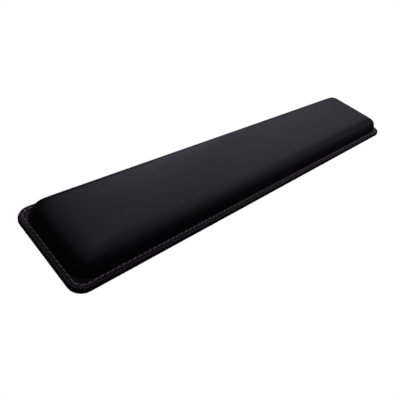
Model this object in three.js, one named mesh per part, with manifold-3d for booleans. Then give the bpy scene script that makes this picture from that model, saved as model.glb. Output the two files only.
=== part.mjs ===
// A keyboard wrist rest: a leatherette cover over a foam core, sewn round its flange to a rubber base.
// Millimetres, +Z up. The origin is the middle of the underside, and +X runs along the length.

import * as THREE from "three";
import { mergeVertices } from "three/addons/utils/BufferGeometryUtils.js";
import Module from "manifold-3d";

// Overall size.
const LENGTH = 457;
const DEPTH = 88;
const HEIGHT = 22;
const CORNER_R = 11.3;

// Thicknesses, from the desk up.
const RUBBER = 3;
const LINING = 0.4;
const ADHESIVE = 0.2;
const BACKING = 0.6;
const SKIN = 0.9;

// The padded dome: it stands inside the flat flange, rises through a rounded flank and ends in a slight crown.
const FLANGE = 5.2;
const FLANK_X = 24;
const FLANK_Y = 16;
const FLANK_POWER = 2.4;
const CROWN = 1.2;
const DOME_CORNER_R = 13.4;
const CREST_HALF_WIDTH = 1;

// How far each layer's cut edge lies inside the outline.
const LINING_TRIM = 0.15;
const BACKING_TRIM = 0.25;
const SKIN_TRIM = 0.3;
const SKIN_EDGE_ROUND = 0.35;
const RUBBER_EDGE_ROUND = 0.6;

// The lockstitch round the flange.
const STITCH_INSET = 3.6;
const THREAD = 0.8;
const THREAD_CHAMFER = 0.23;
const GROOVE_WIDTH = 1.4;
const GROOVE_DEPTH = 1;

// Gap between the nested curved layers.
const GAP = 0.3;

const ARC_DIVISIONS = 4; // an arc has twice as many straight segments
const FLANK_RINGS = 9;
const CROWN_RINGS = 3;

const LINING_Z = RUBBER;
const BACKING_Z = LINING_Z + LINING;
const SKIN_Z = BACKING_Z + BACKING;
const FLANGE_Z = SKIN_Z + SKIN;

const wasm = await Module();
wasm.setup();

// A rounded rectangle, smaller than the rest's outline by an inset along each axis.
function roundedRectangle(insetX, insetY, radius, Kind = THREE.Shape) {
  const cornerX = LENGTH / 2 - insetX - radius;
  const cornerY = DEPTH / 2 - insetY - radius;
  const outline = new Kind();
  outline.absarc(cornerX, cornerY, radius, 0, Math.PI / 2);
  outline.absarc(-cornerX, cornerY, radius, Math.PI / 2, Math.PI);
  outline.absarc(-cornerX, -cornerY, radius, Math.PI, 1.5 * Math.PI);
  outline.absarc(cornerX, -cornerY, radius, 1.5 * Math.PI, 2 * Math.PI);
  outline.closePath();
  return outline;
}

// A solid through a stack of rounded rectangles { insetX, insetY, radius, z }, lowest first.
function loft(rings) {
  const geometry = new THREE.ExtrudeGeometry(roundedRectangle(0, 0, CORNER_R), {
    depth: 1,
    steps: rings.length - 1,
    bevelEnabled: false,
    curveSegments: ARC_DIVISIONS,
  });
  const place = geometry.getAttribute("position");
  for (let i = 0; i < place.count; i++) {
    const ring = rings[Math.round(place.getZ(i) * (rings.length - 1))];
    const x = place.getX(i);
    const y = place.getY(i);
    const fromCornerX = (Math.abs(x) - (LENGTH / 2 - CORNER_R)) / CORNER_R;
    const fromCornerY = (Math.abs(y) - (DEPTH / 2 - CORNER_R)) / CORNER_R;
    const newX = LENGTH / 2 - ring.insetX - ring.radius * (1 - fromCornerX);
    const newY = DEPTH / 2 - ring.insetY - ring.radius * (1 - fromCornerY);
    place.setXYZ(i, Math.sign(x) * newX, Math.sign(y) * newY, ring.z);
  }
  return geometry;
}

// One ring of a flat layer, concentric with the outline.
function layerRing(inset, z) {
  return { insetX: inset, insetY: inset, radius: CORNER_R - inset, z };
}

// A flat layer with a square edge.
function layer(inset, bottom, top) {
  return loft([layerRing(inset, bottom), layerRing(inset, top)]);
}

// The dome's solid, taken in from the cover's outer surface by an offset, and standing on a plane at bottom.
function dome(offset, bottom) {
  const rings = [];
  const root = FLANGE + offset;
  const rootRadius = DOME_CORNER_R - offset;
  const rise = HEIGHT - CROWN - FLANGE_Z - offset;
  rings.push({ insetX: root, insetY: root, radius: rootRadius, z: bottom });
  for (let i = 0; i <= FLANK_RINGS; i++) {
    const angle = (i / FLANK_RINGS) * (Math.PI / 2);
    const inwards = 1 - Math.pow(Math.cos(angle), 2 / FLANK_POWER);
    const upwards = Math.pow(Math.sin(angle), 2 / FLANK_POWER);
    const stepX = inwards * (FLANK_X - offset);
    const stepY = inwards * (FLANK_Y - offset);
    rings.push({
      insetX: root + stepX,
      insetY: root + stepY,
      radius: Math.max(rootRadius - stepY, CREST_HALF_WIDTH),
      z: FLANGE_Z + upwards * rise,
    });
  }
  const plateau = rings[rings.length - 1];
  const remaining = DEPTH / 2 - plateau.insetY - CREST_HALF_WIDTH;
  for (let i = 1; i <= CROWN_RINGS; i++) {
    const share = i / CROWN_RINGS;
    rings.push({
      insetX: plateau.insetX + share * remaining,
      insetY: plateau.insetY + share * remaining,
      radius: CREST_HALF_WIDTH,
      z: plateau.z + CROWN * (1 - (1 - share) ** 2),
    });
  }
  return loft(rings);
}

// A band that follows the outline at an inset to its middle, its long edges chamfered.
function band(inset, width, bottom, top, chamfer) {
  const outer = inset - width / 2 + chamfer;
  const inner = inset + width / 2 - chamfer;
  const shape = roundedRectangle(outer, outer, CORNER_R - outer);
  shape.holes.push(roundedRectangle(inner, inner, CORNER_R - inner, THREE.Path));
  const geometry = new THREE.ExtrudeGeometry(shape, {
    depth: top - bottom - 2 * chamfer,
    bevelEnabled: chamfer > 0,
    bevelThickness: chamfer,
    bevelSize: chamfer,
    bevelSegments: 1,
    curveSegments: ARC_DIVISIONS,
  });
  return geometry.translate(0, 0, bottom + chamfer);
}

function toSolid(geometry) {
  geometry.deleteAttribute("normal");
  geometry.deleteAttribute("uv");
  const merged = mergeVertices(geometry, 1e-4);
  return new wasm.Manifold(
    new wasm.Mesh({
      numProp: 3,
      vertProperties: merged.getAttribute("position").array,
      triVerts: new Uint32Array(merged.index.array),
    }),
  );
}

function toGeometry(solid) {
  const mesh = solid.getMesh();
  const geometry = new THREE.BufferGeometry();
  geometry.setAttribute("position", new THREE.BufferAttribute(mesh.vertProperties, 3));
  geometry.setIndex(new THREE.BufferAttribute(mesh.triVerts, 1));
  geometry.computeVertexNormals();
  return geometry;
}

// A layer of the cover: a flat flange and a dome, hollow underneath.
function coverLayer(flange, flangeBottom, offset, thickness) {
  const whole = toSolid(flange).add(toSolid(dome(offset, flangeBottom)));
  return toGeometry(whole.subtract(toSolid(dome(offset + thickness, flangeBottom - 1))));
}

// The rubber sheet, its edges rounded, with a groove underneath that holds the bobbin thread.
function rubberBase() {
  const sheet = loft([
    layerRing(RUBBER_EDGE_ROUND, 0),
    layerRing(0, RUBBER_EDGE_ROUND),
    layerRing(0, RUBBER - LINING_TRIM),
    layerRing(LINING_TRIM, RUBBER),
  ]);
  const groove = band(STITCH_INSET, GROOVE_WIDTH, -1, GROOVE_DEPTH, 0);
  return toGeometry(toSolid(sheet).subtract(toSolid(groove)));
}

function coverSkin() {
  const flange = loft([
    layerRing(SKIN_TRIM, SKIN_Z),
    layerRing(SKIN_TRIM, FLANGE_Z - SKIN_EDGE_ROUND),
    layerRing(SKIN_TRIM + SKIN_EDGE_ROUND, FLANGE_Z),
  ]);
  return coverLayer(flange, SKIN_Z, 0, SKIN);
}

function coverBacking() {
  return coverLayer(layer(BACKING_TRIM, BACKING_Z, SKIN_Z), BACKING_Z, SKIN + GAP, BACKING);
}

const FOAM_OFFSET = SKIN + BACKING + 2 * GAP;

function foamAdhesive() {
  const root = FLANGE + FOAM_OFFSET;
  const radius = DOME_CORNER_R - FOAM_OFFSET;
  const ring = { insetX: root, insetY: root, radius };
  return loft([
    { ...ring, z: BACKING_Z },
    { ...ring, z: BACKING_Z + ADHESIVE },
  ]);
}

const RUBBER_LOOK = { color: 0x0b0b0c, roughness: 0.85, metalness: 0 };
const KNIT_LOOK = { color: 0x17171a, roughness: 0.95, metalness: 0 };
const FOAM_LOOK = { color: 0x3a3a40, roughness: 0.95, metalness: 0 };
const ADHESIVE_LOOK = { color: 0xc9c2a8, roughness: 0.5, metalness: 0 };
const SKIN_LOOK = { color: 0x25252b, roughness: 0.55, metalness: 0 };
const NEEDLE_LOOK = { color: 0x74444f, roughness: 0.7, metalness: 0 };
const BOBBIN_LOOK = { color: 0x1a1a1c, roughness: 0.7, metalness: 0 };

const wristRest = new THREE.Group();

function addPiece(name, geometry, look) {
  const piece = new THREE.Mesh(geometry, new THREE.MeshStandardMaterial(look));
  piece.name = name;
  wristRest.add(piece);
}

addPiece("rubber_base", rubberBase(), RUBBER_LOOK);
addPiece("base_lining", layer(LINING_TRIM, LINING_Z, BACKING_Z), KNIT_LOOK);
addPiece("foam_adhesive", foamAdhesive(), ADHESIVE_LOOK);
addPiece("foam_core", dome(FOAM_OFFSET, BACKING_Z + ADHESIVE), FOAM_LOOK);
addPiece("cover_backing", coverBacking(), KNIT_LOOK);
addPiece("cover_skin", coverSkin(), SKIN_LOOK);
addPiece(
  "needle_thread",
  band(STITCH_INSET, THREAD, FLANGE_Z, FLANGE_Z + THREAD, THREAD_CHAMFER),
  NEEDLE_LOOK,
);
addPiece(
  "bobbin_thread",
  band(STITCH_INSET, THREAD, GROOVE_DEPTH - THREAD, GROOVE_DEPTH, THREAD_CHAMFER),
  BOBBIN_LOOK,
);

export default wristRest;
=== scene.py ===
import math
from contextlib import contextmanager

import bmesh
import bpy
import numpy as np
from mathutils import Matrix, Vector


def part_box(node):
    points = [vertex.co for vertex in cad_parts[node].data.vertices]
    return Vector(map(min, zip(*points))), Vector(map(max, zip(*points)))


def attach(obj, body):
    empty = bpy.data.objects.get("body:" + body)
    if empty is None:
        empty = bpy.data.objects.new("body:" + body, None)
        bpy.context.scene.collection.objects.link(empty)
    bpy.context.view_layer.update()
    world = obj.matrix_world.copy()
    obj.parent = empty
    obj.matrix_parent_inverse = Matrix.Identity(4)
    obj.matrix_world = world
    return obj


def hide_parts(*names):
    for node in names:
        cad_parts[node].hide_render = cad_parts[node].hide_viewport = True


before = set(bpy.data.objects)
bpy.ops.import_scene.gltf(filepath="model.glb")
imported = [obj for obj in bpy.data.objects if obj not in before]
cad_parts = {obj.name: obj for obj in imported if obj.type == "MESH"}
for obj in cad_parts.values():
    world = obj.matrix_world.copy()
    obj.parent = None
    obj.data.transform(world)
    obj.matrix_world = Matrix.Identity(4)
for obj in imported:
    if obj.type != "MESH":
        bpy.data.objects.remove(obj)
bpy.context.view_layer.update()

MM = 0.001

# ---------------------------------------------------------------------------------------------------------
# Sizes. Heights and outlines come from the frame, in metres.

base_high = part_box("rubber_base")[1]
skin_low, skin_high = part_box("cover_skin")
needle_low, needle_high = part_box("needle_thread")
glue_low, glue_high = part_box("foam_adhesive")

HALF_LENGTH = base_high.x
HALF_DEPTH = base_high.y
CORNER_RADIUS = 11.3 * MM
SIDE_X = 2 * (HALF_LENGTH - CORNER_RADIUS)
SIDE_Y = 2 * (HALF_DEPTH - CORNER_RADIUS)
RUBBER_TOP = base_high.z
LINING_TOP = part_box("base_lining")[1].z
FOAM_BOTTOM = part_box("foam_core")[0].z
FLANGE_TOP = needle_low.z
SKIN_THICKNESS = FLANGE_TOP - skin_low.z
KNIT_THICKNESS = skin_low.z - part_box("cover_backing")[0].z
NEEDLE_CREST = needle_high.z
BOBBIN_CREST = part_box("bobbin_thread")[0].z

# The dome: a rounded flank round a nearly flat top.
FLANGE_WIDTH = 5.2 * MM
DOME_CORNER_RADIUS = 13.4 * MM
FLANK_LENGTHWISE = 24 * MM
FLANK_DEPTHWISE = 16 * MM
FLANK_POWER = 2.4
FLANK_STEPS = 7
ROOT_STEP = math.radians(2.2)
CROWN = 1.2 * MM
CROWN_BEFORE_SWELL = 0.3 * MM
CROWN_MARGIN = 4 * MM
SHOULDER = skin_high.z - CROWN
SOFT_SHOULDER = 4 * MM
SHOULDER_PASSES = 10

# The seam: two threads locked through the flange.
THREAD_RADIUS = (needle_high.z - needle_low.z) / 2
SEAM_INSET = HALF_LENGTH - needle_high.x + THREAD_RADIUS
STITCH_PITCH = 4.55 * MM
STITCH_SLANT = math.radians(9)

# How finely outlines and sheets are divided, and how near counts as being on a plane or a line.
CORNER_STEPS = 6
FLANGE_CUTS = 3
SEAM_CUTS = 2
CAGE_SPACING = 10 * MM
LAYER_SPACING = 5 * MM
NEAR = 0.1 * MM
VERY_NEAR = 0.01 * MM

# Gaps, trims and rolled edges.
LAYER_GAP = 0.1 * MM
LINING_TRIM = 0.15 * MM
GLUE_CORNER_RADIUS = DOME_CORNER_RADIUS - 2 * MM
SKIN_EDGE = 0.25 * MM
LINING_EDGE = 0.1 * MM
GLUE_EDGE = 0.05 * MM
ROLLED_ANGLE = math.radians(60)

# The steepest turn between two faces that still shades as smooth, in degrees.
SHEET_CREASE = 40
FOAM_CREASE = 50
RUBBER_CREASE = 35
THREAD_CREASE = 60

# Needle holes: how far the leatherette is pulled down at a hole and along the seam.
HOLE_DEPTH = 0.45 * MM
HOLE_REACH = 0.8 * MM
SEAM_PULL = 0.35
SEAM_REACH = 0.6 * MM
LEAST_PULL = 0.02

# Each stitch.
STITCH_LENGTH = STITCH_PITCH * 0.84
STITCH_ARCH = math.radians(110)
STITCH_SIDES = 8
STITCH_BENDS = 7
SEWING_SEED = 11
UNEVEN_SLANT = math.radians(1.5)
UNEVEN_LINE = 0.06 * MM

# The rubber base's underside: a groove for the bobbin thread, then rows of square grip pads.
BASE_EDGE = 0.6 * MM
GROOVE_HALF_WIDTH = 0.7 * MM
GROOVE_DEPTH = 1 * MM
PAD_PITCH = 4 * MM
PAD_DEPTH = 0.4 * MM
PAD_GROOVE = 0.5 * MM
PAD_MARGIN = 2 * MM
# Up the side of the base: height, and inset from the outline.
BASE_SIDE = [
    (0.25 * MM, 0.2 * MM),
    (0.6 * MM, 0),
    (RUBBER_TOP - 0.25 * MM, 0),
    (RUBBER_TOP, 0.2 * MM),
]

# Colours, each from its darker patches to its lighter ones.
LEATHER_COLOURS = ((0.0060, 0.0058, 0.0072), (0.0078, 0.0075, 0.0092))
RUBBER_COLOURS = ((0.004, 0.004, 0.0045), (0.008, 0.008, 0.0085))
# Both knit colours follow the knit's height: the darker tone lies in the low places between loops, as
# painted shade.
BACKING_COLOURS_WITH_PAINTED_SHADE = ((0.006, 0.006, 0.007), (0.02, 0.02, 0.022))
LINING_COLOURS_WITH_PAINTED_SHADE = ((0.003, 0.003, 0.0035), (0.012, 0.012, 0.013))
# The red thread's own colour is the darker tone. The pale pink on the ply crests is painted highlight.
RED_THREAD_COLOURS_WITH_PAINTED_HIGHLIGHT = ((0.40, 0.13, 0.18), (0.92, 0.58, 0.65))
# The black thread is darker in the grooves between plies and lighter on their crests, as painted shade.
BLACK_THREAD_COLOURS_WITH_PAINTED_SHADE = ((0.004, 0.004, 0.004), (0.02, 0.02, 0.02))
ADHESIVE_COLOURS = ((0.42, 0.36, 0.22), (0.55, 0.49, 0.33))
# The foam's cell walls, then the hollows between them, painted darker as shade in the hollows.
FOAM_COLOURS_WITH_PAINTED_SHADE = ((0.035, 0.035, 0.04), (0.012, 0.012, 0.014))

# Light and view.
AMBIENT = 0.021
# A bank of soft boxes, most of them on the far side: azimuth and elevation in degrees, and power in watts.
SOFT_BOXES = [
    (-150, 75, 0.55),
    (-50, 22, 0.21),
    (-20, 22, 0.20),
    (-20, 52, 0.78),
    (20, 22, 0.29),
    (20, 36, 0.35),
    (20, 52, 0.49),
    (40, 22, 0.42),
    (60, 22, 1.05),
    (60, 52, 0.81),
    (110, 52, 0.46),
]
SOFT_BOX_SIDE = 0.5
SOFT_BOX_DISTANCE = 1.2
SOFT_BOX_TINT = (0.98, 0.95, 1.22)
FLOOR_SIDE = 8
FLOOR_DROP = 0.2 * MM
VIEW_AZIMUTH = -54.67
VIEW_ELEVATION = 40.40
VIEW_ROLL = 16.92
VIEW_DISTANCE = 413.3 * MM
VIEW_RIGHT = 52.52 * MM
VIEW_UP = 39.25 * MM
VIEW_LENS = 35.42

# How the cover swells over the foam.
CLOTH_PRESSURE = 0.5
CLOTH_FRAMES = 20
CLOTH_QUALITY = 6
CLOTH_MASS = 0.3
CLOTH_STRETCH = 80
CLOTH_SHEAR = 40
CLOTH_BENDING = 40
SWELL_LIMIT = 1.5 * MM
HELD_HEIGHT = 0.5 * MM


# ---------------------------------------------------------------------------------------------------------
# Modelling helpers.


def deselect_everything():
    if bpy.context.object and bpy.context.object.mode != "OBJECT":
        bpy.ops.object.mode_set(mode="OBJECT")
    bpy.ops.object.select_all(action="DESELECT")


def make_active(piece):
    deselect_everything()
    piece.select_set(True)
    bpy.context.view_layer.objects.active = piece


@contextmanager
def edit_mode(piece, kind="FACE"):
    make_active(piece)
    bpy.ops.object.mode_set(mode="EDIT")
    bpy.ops.mesh.select_mode(type=kind)
    bpy.ops.mesh.select_all(action="DESELECT")
    yield
    bpy.ops.object.mode_set(mode="OBJECT")


def pick(piece, kind, wanted):
    """In edit mode, selects the verts, edges or faces that wanted() says yes to, and nothing else."""
    mesh = bmesh.from_edit_mesh(piece.data)
    bpy.ops.mesh.select_all(action="DESELECT")
    for element in getattr(mesh, kind):
        if wanted(element):
            element.select_set(True)
    bmesh.update_edit_mesh(piece.data)


def middle(edge):
    return (edge.verts[0].co + edge.verts[1].co) / 2


def apply_modifier(piece, kind, name, **settings):
    make_active(piece)
    modifier = piece.modifiers.new(name, kind)
    for key, value in settings.items():
        setattr(modifier, key, value)
    bpy.ops.object.modifier_apply(modifier=modifier.name)


def copy_of(piece, name):
    make_active(piece)
    bpy.ops.object.duplicate()
    twin = bpy.context.object
    twin.name = name
    twin.data.name = name
    return twin


def cuts_for(length, spacing):
    return max(1, round(length / spacing)) - 1


def outline_loop(name, inset, radius, height, spacing):
    """A closed loop of edges: a rectangle with round corners, its straight sides divided evenly."""
    half_x, half_y = HALF_LENGTH - inset, HALF_DEPTH - inset
    deselect_everything()
    bpy.ops.mesh.primitive_plane_add(size=2, location=(0, 0, height))
    loop = bpy.context.object
    loop.name = name
    loop.data.name = name
    loop.scale = (half_x, half_y, 1)
    bpy.ops.object.transform_apply(location=True, rotation=False, scale=True)
    with edit_mode(loop, "VERT"):
        bpy.ops.mesh.select_all(action="SELECT")
        bpy.ops.mesh.bevel(offset=radius, segments=CORNER_STEPS, affect="VERTICES")
        bpy.ops.mesh.select_all(action="SELECT")
        bpy.ops.mesh.delete(type="ONLY_FACE")
    with edit_mode(loop, "EDGE"):
        pick(loop, "edges", lambda edge: edge.calc_length() > half_x)
        bpy.ops.mesh.subdivide(number_cuts=cuts_for(SIDE_X, spacing))
        pick(loop, "edges", lambda edge: edge.calc_length() > half_y)
        bpy.ops.mesh.subdivide(number_cuts=cuts_for(SIDE_Y, spacing))
    return loop


def fill_with_grid(piece, on_loop, spacing):
    """Fills a rounded loop with a grid whose four corners sit at the middles of the round corners."""
    short_side = cuts_for(SIDE_Y, spacing) + 1 + CORNER_STEPS
    with edit_mode(piece, "VERT"):
        pick(piece, "verts", on_loop)
        mesh = bmesh.from_edit_mesh(piece.data)
        mesh.select_flush(True)
        corner = max((v for v in mesh.verts if v.select), key=lambda v: v.co.x + v.co.y)
        mesh.select_history.add(corner)
        bmesh.update_edit_mesh(piece.data)
        bpy.ops.mesh.fill_grid(span=short_side, offset=0, use_interp_simple=True)


def inset_of(place):
    """How far a point lies inside the rest's outline, seen from above."""
    past_x = abs(place.x) - (HALF_LENGTH - CORNER_RADIUS)
    past_y = abs(place.y) - (HALF_DEPTH - CORNER_RADIUS)
    outside = math.hypot(max(past_x, 0), max(past_y, 0))
    return CORNER_RADIUS - outside - min(max(past_x, past_y), 0)


# ---------------------------------------------------------------------------------------------------------
# The cover: one sheet of leatherette, flat at the flange, moulded over the foam inside it.


def flank_point(angle):
    """How far inwards along each axis, and how high, the flank has come at an angle from its root."""
    inwards = 1 - math.cos(angle) ** (2 / FLANK_POWER)
    upwards = math.sin(angle) ** (2 / FLANK_POWER)
    return inwards * FLANK_LENGTHWISE, inwards * FLANK_DEPTHWISE, upwards * (SHOULDER - FLANGE_TOP)


def cover_cage():
    """The cover's coarse shape: a flange, a flank stepped up from it, and a grid over the top."""
    trim = HALF_LENGTH - skin_high.x
    cage = outline_loop("leatherette_cover", trim, CORNER_RADIUS, FLANGE_TOP, CAGE_SPACING)
    root = outline_loop("root", FLANGE_WIDTH, DOME_CORNER_RADIUS, FLANGE_TOP, CAGE_SPACING)
    make_active(cage)
    root.select_set(True)
    bpy.ops.object.join()
    with edit_mode(cage, "EDGE"):
        bpy.ops.mesh.select_all(action="SELECT")
        bpy.ops.mesh.bridge_edge_loops(number_cuts=FLANGE_CUTS, interpolation="LINEAR")
        inside_root = HALF_DEPTH - FLANGE_WIDTH + NEAR
        end_of_root = HALF_LENGTH - FLANGE_WIDTH + NEAR

        def on_root(edge):
            within = all(abs(v.co.y) < inside_root and abs(v.co.x) < end_of_root for v in edge.verts)
            return within and inset_of(middle(edge)) > FLANGE_WIDTH - 2 * NEAR

        pick(cage, "edges", on_root)
        bpy.ops.mesh.edge_face_add()
        bpy.ops.mesh.select_all(action="SELECT")
        bpy.ops.mesh.normals_make_consistent(inside=False)
    if max(cage.data.polygons, key=lambda face: len(face.vertices)).normal.z < 0:
        with edit_mode(cage):
            bpy.ops.mesh.select_all(action="SELECT")
            bpy.ops.mesh.flip_normals()
    angles = [ROOT_STEP] + [step / FLANK_STEPS * math.pi / 2 for step in range(1, FLANK_STEPS)]
    with edit_mode(cage):
        pick(cage, "faces", lambda face: len(face.verts) > 4)
        before_x, before_y, before_z = 0, 0, 0
        for angle in angles:
            in_x, in_y, up = flank_point(angle)
            bpy.ops.mesh.inset(thickness=in_y - before_y, depth=up - before_z)
            reached = HALF_LENGTH - FLANGE_WIDTH - before_x - (in_y - before_y)
            wanted = HALF_LENGTH - FLANGE_WIDTH - in_x
            bpy.ops.transform.resize(value=(wanted / reached, 1, 1), center_override=(0, 0, 0))
            before_x, before_y, before_z = in_x, in_y, up
        bpy.ops.mesh.delete(type="ONLY_FACE")
    rim_height = FLANGE_TOP + before_z - VERY_NEAR
    fill_with_grid(cage, lambda vert: vert.co.z > rim_height, CAGE_SPACING)
    return cage


def crown_the_top(sheet, height):
    """Lifts the crest and lets the rest of the top follow, falling away to nothing at the shoulder."""
    reach = HALF_DEPTH - FLANGE_WIDTH - CROWN_MARGIN
    crest_end = HALF_LENGTH - HALF_DEPTH
    with edit_mode(sheet, "VERT"):
        pick(
            sheet,
            "verts",
            lambda vert: abs(vert.co.x) < crest_end and abs(vert.co.y) < CAGE_SPACING / 2,
        )
        bpy.ops.transform.translate(
            value=(0, 0, height),
            use_proportional_edit=True,
            proportional_edit_falloff="SMOOTH",
            proportional_size=reach,
        )


def soften_shoulder(sheet):
    """Rounds the change from flank to top, so that the leatherette shows no ridge there."""
    with edit_mode(sheet, "VERT"):
        pick(sheet, "verts", lambda vert: vert.co.z > SHOULDER - SOFT_SHOULDER)
        bpy.ops.mesh.vertices_smooth(
            factor=0.5,
            repeat=SHOULDER_PASSES,
            xaxis=False,
            yaxis=False,
            zaxis=True,
        )


def swell(sheet):
    """The foam pushes the cover out: cloth under pressure, held still at the flange and along its root."""
    held = sheet.vertex_groups.new(name="sewn_down")
    sewn = [v.index for v in sheet.data.vertices if v.co.z < FLANGE_TOP + HELD_HEIGHT]
    held.add(sewn, 1.0, "REPLACE")
    with edit_mode(sheet, "EDGE"):
        bpy.ops.mesh.select_non_manifold(extend=False)
        bpy.ops.mesh.edge_face_add()
    before = coordinates(sheet)
    make_active(sheet)
    cloth = sheet.modifiers.new("swell", "CLOTH")
    cloth.settings.quality = CLOTH_QUALITY
    cloth.settings.mass = CLOTH_MASS
    cloth.settings.tension_stiffness = CLOTH_STRETCH
    cloth.settings.compression_stiffness = CLOTH_STRETCH
    cloth.settings.shear_stiffness = CLOTH_SHEAR
    cloth.settings.bending_stiffness = CLOTH_BENDING
    cloth.settings.vertex_group_mass = held.name
    cloth.settings.use_pressure = True
    cloth.settings.uniform_pressure_force = CLOTH_PRESSURE
    cloth.settings.effector_weights.gravity = 0
    cloth.collision_settings.use_collision = False
    cloth.point_cache.frame_start = 1
    cloth.point_cache.frame_end = CLOTH_FRAMES
    for step in range(1, CLOTH_FRAMES + 1):
        bpy.context.scene.frame_set(step)
    bpy.ops.object.modifier_apply(modifier=cloth.name)
    bpy.context.scene.frame_set(1)
    moved = coordinates(sheet) - before
    distance = np.linalg.norm(moved, axis=1, keepdims=True)
    capped = moved * SWELL_LIMIT * np.tanh(distance / SWELL_LIMIT) / np.maximum(distance, 1e-9)
    sheet.data.vertices.foreach_set("co", (before + capped).astype(np.float32).ravel())
    sheet.data.update()
    with edit_mode(sheet):
        pick(sheet, "faces", lambda face: len(face.verts) > 4)
        bpy.ops.mesh.delete(type="ONLY_FACE")


def coordinates(piece):
    flat = np.empty(len(piece.data.vertices) * 3, np.float32)
    piece.data.vertices.foreach_get("co", flat)
    return flat.reshape(-1, 3).astype(float)


# ---------------------------------------------------------------------------------------------------------
# The seam: where its stitches and needle holes lie.

SEAM_CORNER = CORNER_RADIUS - SEAM_INSET
SEAM_LENGTH = 2 * (SIDE_X + SIDE_Y) + 2 * math.pi * SEAM_CORNER
STITCH_COUNT = round(SEAM_LENGTH / STITCH_PITCH)


def heading_vector(heading):
    return Vector((math.cos(heading), math.sin(heading), 0))


def seam_point(distance):
    """The place and heading reached after a distance along the seam, from the middle of the -X end."""
    quarter = math.pi / 2 * SEAM_CORNER
    runs = [SIDE_Y / 2, quarter, SIDE_X, quarter, SIDE_Y, quarter, SIDE_X, quarter, SIDE_Y / 2]
    place = Vector((SEAM_INSET - HALF_LENGTH, 0, 0))
    heading = -math.pi / 2
    for number, run in enumerate(runs):
        step = min(distance, run)
        distance -= step
        if number % 2 == 0:
            place += heading_vector(heading) * step
        else:
            turned = heading + step / SEAM_CORNER
            outwards_before = heading_vector(heading - math.pi / 2)
            outwards_after = heading_vector(turned - math.pi / 2)
            place += SEAM_CORNER * (outwards_after - outwards_before)
            heading = turned
    return place, heading


def seam_places(first):
    """Evenly spaced places along the seam, the first one at a share of a stitch from its start."""
    return [seam_point((i + first) * SEAM_LENGTH / STITCH_COUNT) for i in range(STITCH_COUNT)]


# ---------------------------------------------------------------------------------------------------------
# The cover's finish: thickness, pulled-in needle holes and a rolled cut edge.


def refine_seam(sheet):
    """Divides the flange more finely along the seam, so that each needle hole can show."""

    def runs_along_seam(edge):
        start, end = (inset_of(vert.co) for vert in edge.verts)
        return (
            all(vert.co.z < FLANGE_TOP + NEAR for vert in edge.verts)
            and abs(start - end) < edge.calc_length() * 0.3
            and inset_of(middle(edge)) < FLANGE_WIDTH - 3 * NEAR
        )

    with edit_mode(sheet, "EDGE"):
        pick(sheet, "edges", runs_along_seam)
        bpy.ops.mesh.subdivide(number_cuts=SEAM_CUTS)


def pull_seam(skin):
    """The thread pulls the skin's upper face down at each needle hole, and a little between the holes."""
    places = coordinates(skin)
    holes = np.array([place for place, heading in seam_places(0.5)])
    flat = np.nonzero(abs(places[:, 2] - FLANGE_TOP) < NEAR)[0]
    apart = places[flat, None, :2] - holes[None, :, :2]
    nearest = np.sqrt((apart**2).sum(axis=2).min(axis=1))
    off_line = np.array([abs(inset_of(Vector(places[i])) - SEAM_INSET) for i in flat])
    pull = np.maximum(
        np.exp(-((nearest / HOLE_REACH) ** 2)),
        SEAM_PULL * np.exp(-((off_line / SEAM_REACH) ** 2)),
    )
    group = skin.vertex_groups.new(name="needle_pull")
    for index, weight in zip(flat, pull):
        if weight > LEAST_PULL:
            group.add([int(index)], float(weight), "REPLACE")
    apply_modifier(
        skin,
        "DISPLACE",
        "pull",
        vertex_group=group.name,
        direction="Z",
        strength=-HOLE_DEPTH,
        mid_level=0,
    )


def thicken(sheet, thickness, lowered=0):
    """Gives a sheet its thickness downwards, after lowering its upper face."""
    if lowered:
        with edit_mode(sheet):
            bpy.ops.mesh.select_all(action="SELECT")
            bpy.ops.transform.shrink_fatten(value=-lowered)
    apply_modifier(
        sheet,
        "SOLIDIFY",
        "thickness",
        thickness=thickness,
        offset=-1,
        use_even_offset=True,
    )


def roll_edge(piece, width):
    """Rounds a sheet's sharp cut edges."""
    apply_modifier(
        piece,
        "BEVEL",
        "rolled_edge",
        width=width,
        segments=2,
        limit_method="ANGLE",
        angle_limit=ROLLED_ANGLE,
        harden_normals=False,
    )


def smooth(piece, crease=SHEET_CREASE):
    make_active(piece)
    bpy.ops.object.shade_smooth_by_angle(angle=math.radians(crease))


# ---------------------------------------------------------------------------------------------------------
# Flat layers and the foam.


def flat_layer(name, inset, radius, bottom, top, rolled):
    """A thin flat sheet with round corners and softened edges."""
    layer = outline_loop(name, inset, radius, top, LAYER_SPACING)
    with edit_mode(layer, "EDGE"):
        bpy.ops.mesh.select_all(action="SELECT")
        bpy.ops.mesh.edge_face_add()
        bpy.ops.mesh.delete(type="ONLY_FACE")
    fill_with_grid(layer, lambda vert: True, LAYER_SPACING)
    face_up(layer)
    apply_modifier(layer, "SOLIDIFY", "thickness", thickness=top - bottom, offset=-1)
    roll_edge(layer, rolled)
    smooth(layer)
    return layer


def face_up(sheet):
    """Turns a flat or domed sheet's faces so that they point up."""
    if sum(face.normal.z * face.area for face in sheet.data.polygons) < 0:
        with edit_mode(sheet):
            bpy.ops.mesh.select_all(action="SELECT")
            bpy.ops.mesh.flip_normals()


def foam_block(dome):
    """The foam fills the dome, from its inner face down to the adhesive."""
    foam = copy_of(dome, "foam_block")
    with edit_mode(foam):
        bpy.ops.mesh.select_all(action="SELECT")
        bpy.ops.transform.shrink_fatten(value=-(SKIN_THICKNESS + KNIT_THICKNESS + LAYER_GAP))
        bpy.ops.mesh.select_all(action="SELECT")
        bpy.ops.mesh.bisect(
            plane_co=(0, 0, FOAM_BOTTOM),
            plane_no=(0, 0, 1),
            use_fill=True,
            clear_inner=True,
        )
    smooth(foam, FOAM_CREASE)
    return foam


# ---------------------------------------------------------------------------------------------------------
# The rubber base, with its moulded grip pads underneath.


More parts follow.
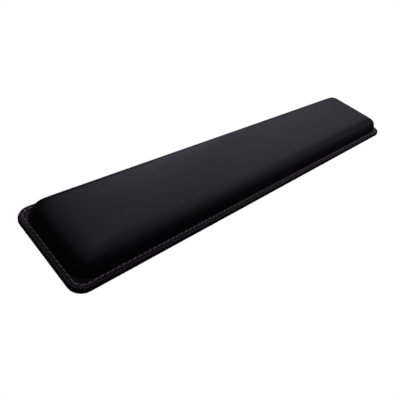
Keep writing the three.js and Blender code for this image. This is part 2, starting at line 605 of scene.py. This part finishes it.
def grip_base():
    """The underside first, with its groove and pads, then the rim raised to the top."""
    base = outline_loop("grip_base", BASE_EDGE, CORNER_RADIUS - BASE_EDGE, 0, PAD_PITCH)
    with edit_mode(base, "EDGE"):
        bpy.ops.mesh.select_all(action="SELECT")
        bpy.ops.mesh.edge_face_add()
    if base.data.polygons[0].normal.z > 0:
        with edit_mode(base):
            bpy.ops.mesh.select_all(action="SELECT")
            bpy.ops.mesh.flip_normals()
    with edit_mode(base):
        bpy.ops.mesh.select_all(action="SELECT")
        bpy.ops.mesh.inset(thickness=SEAM_INSET - GROOVE_HALF_WIDTH - BASE_EDGE)
        step_into_base(GROOVE_DEPTH)
        bpy.ops.mesh.inset(thickness=2 * GROOVE_HALF_WIDTH)
        step_into_base(-GROOVE_DEPTH)
        bpy.ops.mesh.inset(thickness=PAD_MARGIN)
        step_into_base(PAD_DEPTH)
        bpy.ops.mesh.delete(type="ONLY_FACE")
    fill_with_grid(base, at_pad_depth, PAD_PITCH)
    with edit_mode(base):
        pick(base, "faces", lambda face: all(at_pad_depth(vert) for vert in face.verts))
        if sum(face.normal.z for face in bmesh.from_edit_mesh(base.data).faces if face.select) > 0:
            bpy.ops.mesh.flip_normals()
        bpy.ops.mesh.inset(thickness=PAD_GROOVE, depth=PAD_DEPTH, use_individual=True)
    with edit_mode(base, "EDGE"):
        bpy.ops.mesh.select_non_manifold(extend=False)
        for height, inset in BASE_SIDE:
            lift_rim(base, height, inset)
        bpy.ops.mesh.edge_face_add()
        bpy.ops.mesh.select_all(action="SELECT")
        bpy.ops.mesh.normals_make_consistent(inside=False)
    smooth(base, RUBBER_CREASE)
    return base


def at_pad_depth(vert):
    return abs(vert.co.z - PAD_DEPTH) < VERY_NEAR


def step_into_base(depth):
    bpy.ops.mesh.extrude_region_move(TRANSFORM_OT_translate={"value": (0, 0, depth)})


def lift_rim(base, height, inset):
    """Raises the open rim by one step and brings it to an inset from the outline."""
    mesh = bmesh.from_edit_mesh(base.data)
    rim = [vert for vert in mesh.verts if vert.select]
    now_x = max(vert.co.x for vert in rim)
    now_y = max(vert.co.y for vert in rim)
    now_z = rim[0].co.z
    bpy.ops.mesh.extrude_region_move(TRANSFORM_OT_translate={"value": (0, 0, height - now_z)})
    bpy.ops.transform.resize(
        value=((HALF_LENGTH - inset) / now_x, (HALF_DEPTH - inset) / now_y, 1),
        center_override=(0, 0, height),
    )


# ---------------------------------------------------------------------------------------------------------
# The threads, stitch by stitch.


def one_stitch(name):
    """A short length of thread, arched so that both of its ends dip into their needle holes."""
    deselect_everything()
    bpy.ops.mesh.primitive_cylinder_add(
        vertices=STITCH_SIDES,
        radius=THREAD_RADIUS,
        depth=STITCH_LENGTH,
        rotation=(0, math.pi / 2, 0),
    )
    stitch = bpy.context.object
    stitch.name = name
    bpy.ops.object.transform_apply(location=True, rotation=True, scale=True)
    with edit_mode(stitch, "EDGE"):
        pick(stitch, "edges", lambda edge: edge.calc_length() > STITCH_LENGTH / 2)
        bpy.ops.mesh.subdivide(number_cuts=STITCH_BENDS)
    apply_modifier(
        stitch,
        "SIMPLE_DEFORM",
        "arch",
        deform_method="BEND",
        deform_axis="Z",
        angle=STITCH_ARCH,
    )
    stitch.rotation_euler = (-math.pi / 2, 0, 0)
    bpy.ops.object.transform_apply(location=True, rotation=True, scale=True)
    return stitch


def sewn_thread(name, crest, upside_down=False):
    """One thread of the seam: a stitch again and again, with the small unevenness of a sewing machine."""
    pattern = one_stitch(name + "_pattern")
    top = coordinates(pattern)[:, 2].max()
    draw = np.random.default_rng(SEWING_SEED)
    made = []
    for place, heading in seam_places(0):
        twist = STITCH_SLANT + draw.normal(0, UNEVEN_SLANT)
        turn = Matrix.Rotation(heading + twist, 4, "Z")
        if upside_down:
            turn = turn @ Matrix.Rotation(math.pi, 4, "X")
        drop = crest + top if upside_down else crest - top
        sideways = heading_vector(heading + math.pi / 2) * draw.normal(0, UNEVEN_LINE)
        stitch = pattern.copy()
        stitch.data = pattern.data.copy()
        stitch.data.transform(Matrix.Translation(place + sideways + Vector((0, 0, drop))) @ turn)
        bpy.context.scene.collection.objects.link(stitch)
        made.append(stitch)
    bpy.data.objects.remove(pattern)
    deselect_everything()
    for stitch in made:
        stitch.select_set(True)
    bpy.context.view_layer.objects.active = made[0]
    bpy.ops.object.join()
    thread = bpy.context.object
    thread.name = name
    thread.data.name = name
    smooth(thread, THREAD_CREASE)
    return thread


# ---------------------------------------------------------------------------------------------------------
# Node groups that several materials share.


def new_group(name, inputs, outputs):
    group = bpy.data.node_groups.new(name, "ShaderNodeTree")
    for label, kind, value in inputs:
        socket = group.interface.new_socket(name=label, in_out="INPUT", socket_type=kind)
        if value is not None:
            socket.default_value = value
    for label, kind in outputs:
        group.interface.new_socket(name=label, in_out="OUTPUT", socket_type=kind)
    return group, group.nodes.new("NodeGroupInput"), group.nodes.new("NodeGroupOutput")


def add_node(tree, kind, settings=None, **values):
    """A node whose inputs, by name or as i0, i1 and so on, get a value or a link from another socket."""
    node = tree.nodes.new(kind)
    for key, value in (settings or {}).items():
        setattr(node, key, value)
    for key, value in values.items():
        numbered = key[0] == "i" and key[1:].isdigit()
        socket = node.inputs[int(key[1:]) if numbered else key.replace("_", " ")]
        if isinstance(value, bpy.types.NodeSocket):
            tree.links.new(value, socket)
        else:
            socket.default_value = value
    return node


def math_node(tree, operation, first, second):
    return add_node(tree, "ShaderNodeMath", {"operation": operation}, i0=first, i1=second).outputs[0]


def make_pebble_group():
    """Fine moulded grain: small rounded cells, each of a slightly different height."""
    group, given, result = new_group(
        "pebble_grain",
        [("Vector", "NodeSocketVector", None), ("Cell Size", "NodeSocketFloat", 0.5 * MM)],
        [("Height", "NodeSocketFloat"), ("Valley", "NodeSocketFloat")],
    )
    scale = math_node(group, "DIVIDE", 1.0, given.outputs["Cell Size"])
    wobble = add_node(group, "ShaderNodeTexNoise", Vector=given.outputs["Vector"], Scale=900.0, Detail=2.0)
    shifted = add_node(
        group,
        "ShaderNodeVectorMath",
        {"operation": "MULTIPLY_ADD"},
        i0=wobble.outputs["Color"],
        i1=(0.3 * MM, 0.3 * MM, 0.3 * MM),
        i2=given.outputs["Vector"],
    )
    cells = add_node(
        group,
        "ShaderNodeTexVoronoi",
        {"feature": "DISTANCE_TO_EDGE"},
        Vector=shifted.outputs[0],
        Scale=scale,
    )
    rounded = add_node(
        group,
        "ShaderNodeMapRange",
        {"interpolation_type": "SMOOTHSTEP"},
        Value=cells.outputs["Distance"],
        From_Min=0.0,
        From_Max=0.28,
    )
    group.links.new(rounded.outputs[0], result.inputs["Height"])
    group.links.new(math_node(group, "SUBTRACT", 1.0, rounded.outputs[0]), result.inputs["Valley"])
    return group


def make_variation_group():
    """Slow, soft change over a surface, between a low and a high value."""
    group, given, result = new_group(
        "soft_variation",
        [
            ("Vector", "NodeSocketVector", None),
            ("Patch Size", "NodeSocketFloat", 30 * MM),
            ("Low", "NodeSocketFloat", 0.0),
            ("High", "NodeSocketFloat", 1.0),
        ],
        [("Value", "NodeSocketFloat")],
    )
    scale = math_node(group, "DIVIDE", 1.0, given.outputs["Patch Size"])
    patches = add_node(
        group,
        "ShaderNodeTexNoise",
        Vector=given.outputs["Vector"],
        Scale=scale,
        Detail=4.0,
        Roughness=0.55,
    )
    spread = add_node(
        group,
        "ShaderNodeMapRange",
        Value=patches.outputs["Fac"],
        From_Min=0.3,
        From_Max=0.7,
        To_Min=given.outputs["Low"],
        To_Max=given.outputs["High"],
    )
    group.links.new(spread.outputs[0], result.inputs["Value"])
    return group


def make_knit_group():
    """Fine knit: rows of loops, as a height."""
    group, given, result = new_group(
        "fine_knit",
        [("Vector", "NodeSocketVector", None), ("Loop Size", "NodeSocketFloat", 0.5 * MM)],
        [("Height", "NodeSocketFloat")],
    )
    scale = math_node(group, "DIVIDE", 0.5, given.outputs["Loop Size"])
    wales = add_node(
        group,
        "ShaderNodeTexWave",
        {"bands_direction": "X"},
        Vector=given.outputs["Vector"],
        Scale=scale,
        Distortion=1.5,
    )
    courses = add_node(
        group,
        "ShaderNodeTexWave",
        {"bands_direction": "DIAGONAL"},
        Vector=given.outputs["Vector"],
        Scale=scale,
        Distortion=1.0,
    )
    height = math_node(group, "MULTIPLY", wales.outputs["Fac"], courses.outputs["Fac"])
    group.links.new(height, result.inputs["Height"])
    return group


# ---------------------------------------------------------------------------------------------------------
# Materials.


class Finish:
    """A material being made: its tree, its shader and the coordinates it reads."""

    def __init__(self, name, coordinates="Object"):
        self.material = bpy.data.materials.new(name)
        self.material.use_nodes = True
        self.tree = self.material.node_tree
        self.shader = self.tree.nodes["Principled BSDF"]
        self.place = self.tree.nodes.new("ShaderNodeTexCoord").outputs[coordinates]

    def node(self, kind, settings=None, **values):
        return add_node(self.tree, kind, settings, **values)

    def group(self, tree, **values):
        node = self.tree.nodes.new("ShaderNodeGroup")
        node.node_tree = tree
        self.tree.links.new(self.place, node.inputs["Vector"])
        for key, value in values.items():
            node.inputs[key.replace("_", " ")].default_value = value
        return node.outputs

    def blend(self, factor, colours):
        first, second = colours
        mix = self.node("ShaderNodeMix", {"data_type": "RGBA"})
        self.tree.links.new(factor, mix.inputs["Factor"])
        mix.inputs[6].default_value = (*first, 1)
        mix.inputs[7].default_value = (*second, 1)
        return mix.outputs[2]

    def set(self, **values):
        for key, value in values.items():
            self.shader.inputs[key.replace("_", " ")].default_value = value

    def feed(self, name, output):
        self.tree.links.new(output, self.shader.inputs[name])

    def bump(self, height, distance):
        node = self.node("ShaderNodeBump", Height=height, Strength=1.0, Distance=distance)
        self.feed("Normal", node.outputs["Normal"])


PEBBLE = make_pebble_group()
VARIATION = make_variation_group()
KNIT = make_knit_group()


def leatherette_finish():
    finish = Finish("charcoal_leatherette")
    tone = finish.group(VARIATION, Patch_Size=45 * MM)["Value"]
    finish.feed("Base Color", finish.blend(tone, LEATHER_COLOURS))
    finish.feed("Roughness", finish.group(VARIATION, Patch_Size=12 * MM, Low=0.41, High=0.44)["Value"])
    grain = finish.group(PEBBLE, Cell_Size=0.55 * MM)
    finish.bump(grain["Height"], 0.02 * MM)
    finish.set(Specular_IOR_Level=0.3)
    return finish.material


def rubber_finish():
    finish = Finish("black_rubber")
    tone = finish.group(VARIATION, Patch_Size=8 * MM)["Value"]
    finish.feed("Base Color", finish.blend(tone, RUBBER_COLOURS))
    finish.feed("Roughness", finish.group(VARIATION, Patch_Size=3 * MM, Low=0.75, High=0.9)["Value"])
    grain = finish.group(PEBBLE, Cell_Size=0.3 * MM)
    finish.bump(grain["Height"], 0.03 * MM)
    finish.set(Specular_IOR_Level=0.25)
    return finish.material


def knit_finish(name, colours):
    finish = Finish(name)
    knit = finish.group(KNIT, Loop_Size=0.5 * MM)
    # Painted shade: the colour is darker in the low places between the knit's loops.
    finish.feed("Base Color", finish.blend(knit["Height"], colours))
    finish.feed("Roughness", finish.group(VARIATION, Patch_Size=5 * MM, Low=0.85, High=0.95)["Value"])
    finish.bump(knit["Height"], 0.1 * MM)
    finish.set(Specular_IOR_Level=0.2, Sheen_Weight=0.15, Sheen_Roughness=0.5)
    return finish.material


def thread_finish(name, colours):
    """Twisted thread: plies wind round each stitch, so the pattern follows the stitch's own UV map. Its
    colour follows the plies' height, with painted shade in the grooves and painted highlight on the
    crests.
    """
    finish = Finish(name, "UV")
    turned = finish.node("ShaderNodeMapping", Vector=finish.place, Scale=(3, 5, 1))
    plies = finish.node(
        "ShaderNodeTexWave",
        {"bands_direction": "DIAGONAL"},
        Vector=turned.outputs["Vector"],
        Scale=0.5,
        Distortion=0.6,
    )
    # Painted shade in the grooves between plies, and painted highlight on their crests.
    finish.feed("Base Color", finish.blend(plies.outputs["Fac"], colours))
    finish.bump(plies.outputs["Fac"], 0.08 * MM)
    finish.set(Roughness=0.6, Specular_IOR_Level=0.4, Sheen_Weight=0.2, Sheen_Roughness=0.4)
    return finish.material


def foam_finish():
    finish = Finish("grey_foam")
    cells = finish.group(PEBBLE, Cell_Size=0.9 * MM)
    # Painted shade: the colour is darker in the hollows between cells.
    finish.feed("Base Color", finish.blend(cells["Valley"], FOAM_COLOURS_WITH_PAINTED_SHADE))
    finish.feed("Roughness", finish.group(VARIATION, Patch_Size=10 * MM, Low=0.88, High=0.98)["Value"])
    finish.bump(cells["Height"], 0.2 * MM)
    return finish.material


def adhesive_finish():
    finish = Finish("clear_adhesive")
    tone = finish.group(VARIATION, Patch_Size=6 * MM)["Value"]
    finish.feed("Base Color", finish.blend(tone, ADHESIVE_COLOURS))
    finish.feed("Roughness", finish.group(VARIATION, Patch_Size=4 * MM, Low=0.3, High=0.6)["Value"])
    finish.bump(tone, 0.1 * MM)
    return finish.material


def dress(piece, material, node):
    """Gives a piece its material, ties it to the body, and hides the part from model.glb that it stands
    for.
    """
    piece.data.materials.clear()
    piece.data.materials.append(material)
    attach(piece, "root")
    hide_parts(node)


# ---------------------------------------------------------------------------------------------------------
# Making the rest.

cover = cover_cage()
crown_the_top(cover, CROWN_BEFORE_SWELL)
apply_modifier(cover, "SUBSURF", "smooth", levels=1, render_levels=1)
swell(cover)
soften_shoulder(cover)
apply_modifier(cover, "SUBSURF", "smooth", levels=1, render_levels=1)
face_up(cover)

foam = foam_block(cover)
knit = copy_of(cover, "cover_knit")
thicken(knit, KNIT_THICKNESS - LAYER_GAP, SKIN_THICKNESS + LAYER_GAP)
smooth(knit)
refine_seam(cover)
thicken(cover, SKIN_THICKNESS)
roll_edge(cover, SKIN_EDGE)
pull_seam(cover)
smooth(cover)

lining = flat_layer(
    "knit_lining",
    LINING_TRIM,
    CORNER_RADIUS - LINING_TRIM,
    RUBBER_TOP,
    LINING_TOP,
    LINING_EDGE,
)
glue = flat_layer(
    "foam_glue",
    HALF_LENGTH - glue_high.x,
    GLUE_CORNER_RADIUS,
    glue_low.z,
    glue_high.z,
    GLUE_EDGE,
)
base = grip_base()
needle = sewn_thread("needle_stitches", NEEDLE_CREST)
bobbin = sewn_thread("bobbin_stitches", BOBBIN_CREST, upside_down=True)

backing_knit = knit_finish("backing_knit", BACKING_COLOURS_WITH_PAINTED_SHADE)
lining_knit = knit_finish("lining_knit", LINING_COLOURS_WITH_PAINTED_SHADE)
red_thread = thread_finish("muted_red_thread", RED_THREAD_COLOURS_WITH_PAINTED_HIGHLIGHT)
black_thread = thread_finish("black_thread", BLACK_THREAD_COLOURS_WITH_PAINTED_SHADE)

dress(cover, leatherette_finish(), "cover_skin")
dress(knit, backing_knit, "cover_backing")
dress(foam, foam_finish(), "foam_core")
dress(glue, adhesive_finish(), "foam_adhesive")
dress(lining, lining_knit, "base_lining")
dress(base, rubber_finish(), "rubber_base")
dress(needle, red_thread, "needle_thread")
dress(bobbin, black_thread, "bobbin_thread")


# ---------------------------------------------------------------------------------------------------------
# Floor, light and camera.


def pale_floor():
    """A pale floor that reads as plain white and throws no light back up at the rest."""
    deselect_everything()
    bpy.ops.mesh.primitive_plane_add(size=FLOOR_SIDE, location=(0, 0, -FLOOR_DROP))
    floor = bpy.context.object
    floor.name = "floor"
    paint = bpy.data.materials.new("pale_floor")
    paint.use_nodes = True
    tree = paint.node_tree
    tree.nodes.clear()
    glow = tree.nodes.new("ShaderNodeEmission")
    glow.inputs["Strength"].default_value = 1.0
    out = tree.nodes.new("ShaderNodeOutputMaterial")
    tree.links.new(glow.outputs[0], out.inputs["Surface"])
    floor.data.materials.append(paint)
    floor.visible_diffuse = False
    floor.visible_glossy = False
    floor.visible_shadow = False


def soft_box(azimuth, elevation, power):
    """A square lamp that faces the rest. Its azimuth is counted from +X, towards +Y."""
    around, above = math.radians(azimuth), math.radians(elevation)
    level = heading_vector(around) * math.cos(above)
    outwards = level + Vector((0, 0, math.sin(above)))
    lamp = bpy.data.lights.new("soft_box", "AREA")
    lamp.shape = "SQUARE"
    lamp.size = SOFT_BOX_SIDE
    lamp.energy = power
    lamp.color = SOFT_BOX_TINT
    holder = bpy.data.objects.new("soft_box", lamp)
    holder.location = outwards * SOFT_BOX_DISTANCE
    holder.rotation_euler = (-outwards).to_track_quat("-Z", "Y").to_euler()
    bpy.context.scene.collection.objects.link(holder)


def white_surroundings():
    """White where the camera looks past the floor, and a faint even light everywhere else."""
    world = bpy.data.worlds.new("surroundings")
    bpy.context.scene.world = world
    world.use_nodes = True
    tree = world.node_tree
    tree.nodes.clear()
    seen = tree.nodes.new("ShaderNodeBackground")
    seen.inputs["Strength"].default_value = 1.0
    seen.inputs["Color"].default_value = (1, 1, 1, 1)
    lit = tree.nodes.new("ShaderNodeBackground")
    lit.inputs["Color"].default_value = (1, 1, 1, 1)
    lit.inputs["Strength"].default_value = AMBIENT
    path = tree.nodes.new("ShaderNodeLightPath")
    mix = tree.nodes.new("ShaderNodeMixShader")
    out = tree.nodes.new("ShaderNodeOutputWorld")
    tree.links.new(path.outputs["Is Camera Ray"], mix.inputs[0])
    tree.links.new(lit.outputs[0], mix.inputs[1])
    tree.links.new(seen.outputs[0], mix.inputs[2])
    tree.links.new(mix.outputs[0], out.inputs["Surface"])


def studio_camera():
    """Looks down at the rest from beyond its -X end, rolled a little clockwise."""
    around, above, roll = (math.radians(angle) for angle in (VIEW_AZIMUTH, VIEW_ELEVATION, VIEW_ROLL))
    level = heading_vector(around)
    back = heading_vector(around - math.pi / 2) * math.cos(above) + Vector((0, 0, math.sin(above)))
    upright = back.cross(level)
    right = math.cos(roll) * level + math.sin(roll) * upright
    up = math.cos(roll) * upright - math.sin(roll) * level
    camera = bpy.data.cameras.new("camera")
    camera.lens = VIEW_LENS
    holder = bpy.data.objects.new("camera", camera)
    turned = Matrix((right, up, back)).transposed().to_4x4()
    place = VIEW_DISTANCE * back - VIEW_RIGHT * right - VIEW_UP * up
    holder.matrix_world = Matrix.Translation(place) @ turned
    bpy.context.scene.collection.objects.link(holder)
    bpy.context.scene.camera = holder


pale_floor()
white_surroundings()
for box in SOFT_BOXES:
    soft_box(*box)
studio_camera()
bpy.context.scene.view_settings.view_transform = "Standard"

deselect_everything()
